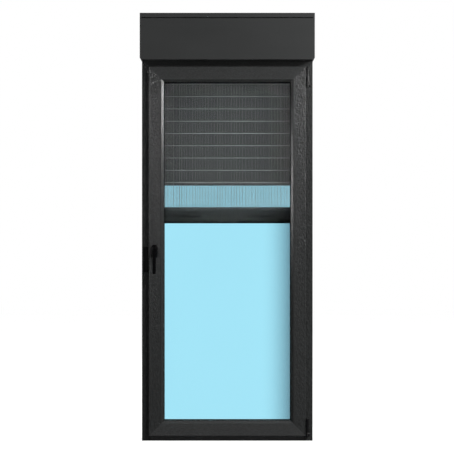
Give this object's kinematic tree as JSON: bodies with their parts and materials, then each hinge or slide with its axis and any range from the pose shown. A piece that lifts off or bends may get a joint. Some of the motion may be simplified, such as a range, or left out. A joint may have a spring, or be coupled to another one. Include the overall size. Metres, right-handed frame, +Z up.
{
  "type": "tilt and turn balcony door",
  "caption": "Single-leaf glazed door that turns inwards on its right side or tilts in at the head, with a roller shutter box, shutter guides and a roll-down insect screen.",
  "frame": {"origin": "middle of the frame's underside, halfway through the frame's depth", "axes": "+X to the hinge side as seen from the room, +Y to the outside, +Z up"},
  "size_m": [0.898, 0.2483, 2.2],
  "materials": {
    "pvc_anthracite": "embossed foil, fine grain along the rails",
    "pvc_anthracite_upright": "embossed foil, fine grain along the uprights",
    "box_satin": "smooth satin foil",
    "seal_rubber": "soft matt seal",
    "gasket_rubber": "soft matt gasket",
    "black_plastic": "moulded, lightly textured",
    "zinc_steel": "zinc plated, satin",
    "dark_hinge": "painted, satin",
    "galvanised": "galvanised",
    "slat_paint": "roll-formed, satin paint",
    "guide_paint": "powder coated",
    "screen_bar_paint": "powder coated",
    "screen_fabric": "coated glass-fibre mesh",
    "glass_tint": "clear float glass with a cool tint",
    "spacer_metal": "satin",
    "handle_black": "satin black"
  },
  "bodies": {
    "frame": {"frame_head": "pvc_anthracite", "frame_jamb_left": "pvc_anthracite_upright", "frame_jamb_right": "pvc_anthracite_upright", "frame_sill": "pvc_anthracite", "frame_seal": "seal_rubber", "strike_plate": "black_plastic", "lock_keeps": "zinc_steel", "stay_bearing": "dark_hinge", "corner_bearing": "dark_hinge", "box_cover": "box_satin", "box_top": "box_satin", "box_back": "box_satin", "box_bottom": "box_satin", "box_end_left": "box_satin", "box_end_right": "box_satin", "shutter_axle": "galvanised", "shutter_roll": "slat_paint", "shutter_curtain": "slat_paint", "shutter_end_slat": "slat_paint", "guide_left": "guide_paint", "guide_right": "guide_paint", "screen_bar": "screen_bar_paint", "screen_grips": "black_plastic", "screen_mesh": "screen_fabric", "screen_roller": "screen_fabric"},
    "pivot": {"corner_pivot": "zinc_steel"},
    "sash": {"sash_top_rail": "pvc_anthracite", "sash_bottom_rail": "pvc_anthracite", "sash_stile_left": "pvc_anthracite_upright", "sash_stile_right": "pvc_anthracite_upright", "sash_seal": "seal_rubber", "bead_top": "pvc_anthracite", "bead_bottom": "pvc_anthracite", "bead_left": "pvc_anthracite_upright", "bead_right": "pvc_anthracite_upright", "glass_outer": "glass_tint", "glass_inner": "glass_tint", "glass_spacer": "spacer_metal", "gasket_room": "gasket_rubber", "gasket_outside": "gasket_rubber", "espagnolette": "zinc_steel", "sash_band": "dark_hinge", "handle_rosette": "handle_black"},
    "stay_slider": {"stay_shoe": "zinc_steel"},
    "stay": {"stay_arm": "zinc_steel"},
    "handle": {"handle_lever": "handle_black"}
  },
  "joints": [
    {"name": "tilt", "type": "hinge", "parent": "frame", "child": "pivot", "pos_m": [0, -0.056, 0.031], "axis": [1, 0, 0], "range_deg": [0, 4.5]},
    {"name": "turn", "type": "hinge", "parent": "pivot", "child": "sash", "pos_m": [0.414, -0.056, 0.031], "axis": [0, 0, 1], "range_deg": [0, 100]},
    {"name": "handle_turn", "type": "hinge", "parent": "sash", "child": "handle", "pos_m": [-0.375, -0.066, 0.975], "axis": [0, -1, 0], "range_deg": [0, 180]},
    {"name": "stay_slide", "type": "slide", "parent": "sash", "child": "stay_slider", "axis": [1, 0, 0], "range_m": [0, 0.01398]},
    {"name": "stay_swing", "type": "hinge", "parent": "stay_slider", "child": "stay", "pos_m": [0.014, -0.018, 1.91275], "axis": [0, 0, 1], "range_deg": [0, 21.78]}
  ],
  "couplings": [
    {"joint": "stay_slide", "follows": "tilt", "m_per_rad": 0.17164},
    {"joint": "stay_swing", "follows": "tilt", "ratio": 4.7288}
  ]
}
